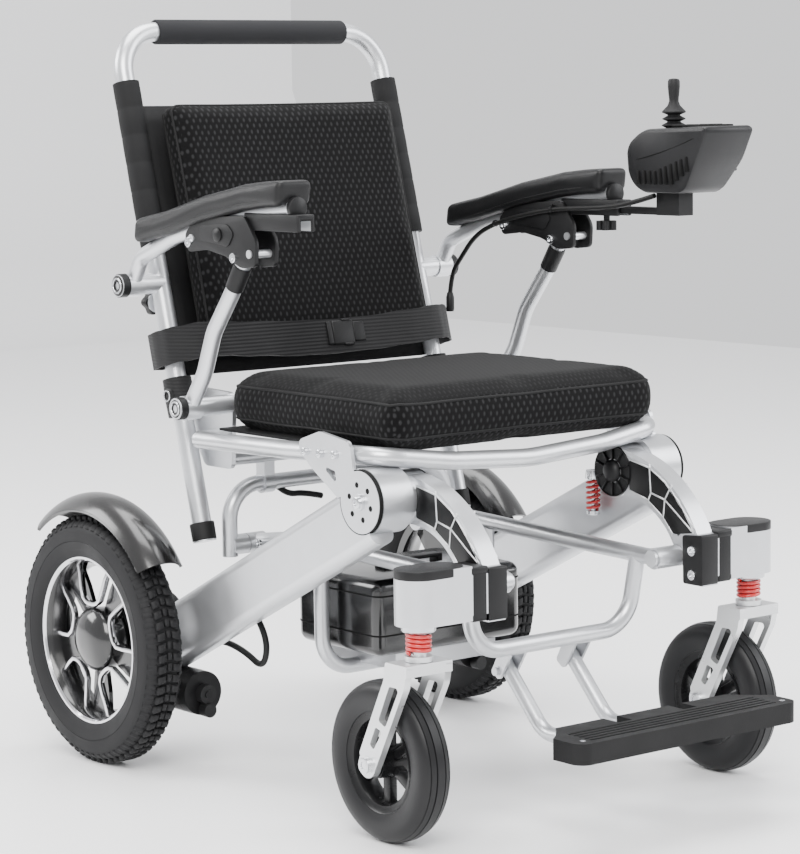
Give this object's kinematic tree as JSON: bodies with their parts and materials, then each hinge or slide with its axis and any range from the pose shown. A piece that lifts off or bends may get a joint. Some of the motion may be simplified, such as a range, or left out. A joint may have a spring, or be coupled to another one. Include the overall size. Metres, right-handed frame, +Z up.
{
  "type": "power wheelchair",
  "caption": "Folding power wheelchair with two spoked drive wheels, swivel casters, padded seat and back, armrests, joystick controller, battery and footplate.",
  "frame": {"origin": "on the floor, under the middle of the chair's length and width", "axes": "+Z up, -Y the way the sitter faces, +X the sitter's left"},
  "size_m": [0.636, 0.9398, 0.943],
  "materials": {
    "silver_tube": "satin",
    "silver_cast": "satin",
    "steel": "brushed",
    "black_paint": "satin",
    "black_plastic": "matte",
    "gloss_plastic": "gloss",
    "spring_red": "gloss",
    "tyre": "matte",
    "caster_rubber": "satin",
    "foam": "matte",
    "mesh_fabric": "matte",
    "webbing": "matte",
    "pad_skin": "satin",
    "cable": "matte"
  },
  "bodies": {
    "chair_frame": {"seat_tube": "silver_tube", "rear_cross_frame": "silver_tube", "seat_pan": "mesh_fabric", "seat_cushion": "mesh_fabric", "main_beam_left": "silver_tube", "main_beam_right": "silver_tube", "hub_plate_left": "silver_cast", "hub_plate_right": "silver_cast", "hub_axles": "steel", "motor_left": "black_paint", "motor_right": "black_paint", "motor_cables": "cable", "fender_left": "gloss_plastic", "fender_right": "gloss_plastic"},
    "underframe": {"link_tube_left": "silver_tube", "link_tube_right": "silver_tube", "front_u_tube": "silver_tube", "battery": "gloss_plastic", "battery_cradle": "silver_tube", "footrest_stems": "silver_tube"},
    "footplate": {"footplate": "black_plastic"},
    "rear_hoop": {"rear_hoop": "silver_tube", "hoop_cable": "cable"},
    "backrest": {"back_tube": "silver_tube", "push_grip": "foam", "back_sling": "mesh_fabric", "back_cushion": "mesh_fabric", "lap_belt": "webbing"},
    "controller": {"controller_mount": "black_plastic", "controller_box": "black_plastic"},
    "joystick_gimbal": {"joystick_gimbal": "steel"},
    "joystick_stick": {"joystick_stick": "black_plastic"},
    "power_button": {"power_button": "gloss_plastic"},
    "speed_rocker": {"speed_rocker": "gloss_plastic"},
    "front_leg_left": {"front_leg_left": "silver_cast", "caster_housing_left": "silver_cast", "caster_spring_left": "spring_red"},
    "caster_stem_left": {"caster_stem_left": "steel"},
    "caster_fork_left": {"caster_fork_left": "silver_cast"},
    "caster_wheel_left": {"caster_wheel_left": "caster_rubber"},
    "rear_wheel_left": {"rear_rim_left": "black_paint", "rear_tyre_left": "tyre"},
    "freewheel_lever_left": {"freewheel_lever_left": "black_plastic"},
    "arm_left": {"arm_frame_left": "silver_tube", "arm_pad_left": "pad_skin", "controller_cable": "cable"},
    "arm_support_left": {"arm_support_left": "silver_tube"},
    "front_leg_right": {"front_leg_right": "silver_cast", "caster_housing_right": "silver_cast", "caster_spring_right": "spring_red"},
    "caster_stem_right": {"caster_stem_right": "steel"},
    "caster_fork_right": {"caster_fork_right": "silver_cast"},
    "caster_wheel_right": {"caster_wheel_right": "caster_rubber"},
    "rear_wheel_right": {"rear_rim_right": "black_paint", "rear_tyre_right": "tyre"},
    "freewheel_lever_right": {"freewheel_lever_right": "black_plastic"},
    "arm_right": {"arm_frame_right": "silver_tube", "arm_pad_right": "pad_skin"},
    "arm_support_right": {"arm_support_right": "silver_tube"}
  },
  "joints": [
    {"name": "frame_fold", "type": "hinge", "parent": "chair_frame", "child": "front_leg_right", "pos_m": [0, -0.1692, 0.379], "axis": [1, 0, 0], "range_deg": [0, 40]},
    {"name": "frame_fold_left", "type": "hinge", "parent": "chair_frame", "child": "front_leg_left", "pos_m": [0, -0.1692, 0.379], "axis": [1, 0, 0], "range_deg": [0, 40]},
    {"name": "underframe_swing", "type": "hinge", "parent": "front_leg_right", "child": "underframe", "pos_m": [0, -0.2819, 0.287], "axis": [1, 0, 0], "range_deg": [-30, 0]},
    {"name": "hoop_swing", "type": "hinge", "parent": "chair_frame", "child": "rear_hoop", "pos_m": [0, 0.1841, 0.356], "axis": [1, 0, 0], "range_deg": [0, 90]},
    {"name": "footplate_flip", "type": "hinge", "parent": "underframe", "child": "footplate", "pos_m": [0, -0.3989, 0.119], "axis": [-1, 0, 0], "range_deg": [0, 90]},
    {"name": "back_fold", "type": "hinge", "parent": "chair_frame", "child": "backrest", "pos_m": [0, 0.24119, 0.47], "axis": [1, 0, 0], "range_deg": [0, 40]},
    {"name": "arm_level_left", "type": "hinge", "parent": "backrest", "child": "arm_left", "pos_m": [0.25, 0.2791, 0.6095], "axis": [1, 0, 0], "range_deg": [-40, 0]},
    {"name": "arm_support_swing_left", "type": "hinge", "parent": "chair_frame", "child": "arm_support_left", "pos_m": [0.25, 0.1561, 0.464], "axis": [1, 0, 0], "range_deg": [0, 20]},
    {"name": "caster_suspension_left", "type": "slide", "parent": "front_leg_left", "child": "caster_stem_left", "axis": [0, 0, 1], "range_m": [0, 0.01], "stiffness_N_per_m": 20000, "springref_m": -0.009, "deforming": ["caster_spring_left"]},
    {"name": "caster_swivel_left", "type": "hinge", "parent": "caster_stem_left", "child": "caster_fork_left", "pos_m": [0.2593, -0.2994, 0.2165], "axis": [0, 0, 1], "continuous": true},
    {"name": "caster_spin_left", "type": "hinge", "parent": "caster_fork_left", "child": "caster_wheel_left", "pos_m": [0.2593, -0.2444, 0.0935], "axis": [1, 0, 0], "continuous": true},
    {"name": "rear_wheel_spin_left", "type": "hinge", "parent": "chair_frame", "child": "rear_wheel_left", "pos_m": [0.29, 0.3111, 0.1588], "axis": [1, 0, 0], "continuous": true},
    {"name": "freewheel_lever_turn_left", "type": "hinge", "parent": "chair_frame", "child": "freewheel_lever_left", "pos_m": [0.222, 0.1831, 0.098], "axis": [0, 1, 0], "range_deg": [0, 60]},
    {"name": "arm_level_right", "type": "hinge", "parent": "backrest", "child": "arm_right", "pos_m": [-0.25, 0.2791, 0.6095], "axis": [1, 0, 0], "range_deg": [-40, 0]},
    {"name": "arm_support_swing_right", "type": "hinge", "parent": "chair_frame", "child": "arm_support_right", "pos_m": [-0.25, 0.1561, 0.464], "axis": [1, 0, 0], "range_deg": [0, 20]},
    {"name": "caster_suspension_right", "type": "slide", "parent": "front_leg_right", "child": "caster_stem_right", "axis": [0, 0, 1], "range_m": [0, 0.01], "stiffness_N_per_m": 20000, "springref_m": -0.009, "deforming": ["caster_spring_right"]},
    {"name": "caster_swivel_right", "type": "hinge", "parent": "caster_stem_right", "child": "caster_fork_right", "pos_m": [-0.2593, -0.2994, 0.2165], "axis": [0, 0, 1], "continuous": true},
    {"name": "caster_spin_right", "type": "hinge", "parent": "caster_fork_right", "child": "caster_wheel_right", "pos_m": [-0.2593, -0.2444, 0.0935], "axis": [1, 0, 0], "continuous": true},
    {"name": "rear_wheel_spin_right", "type": "hinge", "parent": "chair_frame", "child": "rear_wheel_right", "pos_m": [-0.29, 0.3111, 0.1588], "axis": [1, 0, 0], "continuous": true},
    {"name": "freewheel_lever_turn_right", "type": "hinge", "parent": "chair_frame", "child": "freewheel_lever_right", "pos_m": [-0.222, 0.1831, 0.098], "axis": [0, 1, 0], "range_deg": [0, 60]},
    {"name": "controller_reach", "type": "slide", "parent": "arm_left", "child": "controller", "axis": [0, -1, 0], "range_m": [0, 0.06]},
    {"name": "joystick_fore_aft", "type": "hinge", "parent": "controller", "child": "joystick_gimbal", "pos_m": [0.25, -0.1799, 0.785], "axis": [1, 0, 0], "range_deg": [-18, 18], "stiffness_Nm_per_rad": 0.5},
    {"name": "joystick_side", "type": "hinge", "parent": "joystick_gimbal", "child": "joystick_stick", "pos_m": [0.25, -0.1799, 0.785], "axis": [0, 1, 0], "range_deg": [-18, 18], "stiffness_Nm_per_rad": 0.5},
    {"name": "power_press", "type": "slide", "parent": "controller", "child": "power_button", "axis": [0, 0, -1], "range_m": [0, 0.0015], "stiffness_N_per_m": 600},
    {"name": "speed_rock", "type": "hinge", "parent": "controller", "child": "speed_rocker", "pos_m": [0.264, -0.2309, 0.797], "axis": [0, 1, 0], "range_deg": [-6, 6], "stiffness_Nm_per_rad": 0.05}
  ],
  "couplings": [
    {"joint": "frame_fold_left", "follows": "frame_fold", "ratio": 1},
    {"joint": "underframe_swing", "follows": "frame_fold", "ratio": -0.656},
    {"joint": "hoop_swing", "follows": "frame_fold", "ratio": 1.966},
    {"joint": "arm_level_left", "follows": "back_fold", "ratio": -1},
    {"joint": "arm_support_swing_left", "follows": "back_fold", "ratio": 0.4},
    {"joint": "arm_level_right", "follows": "back_fold", "ratio": -1},
    {"joint": "arm_support_swing_right", "follows": "back_fold", "ratio": 0.4}
  ]
}
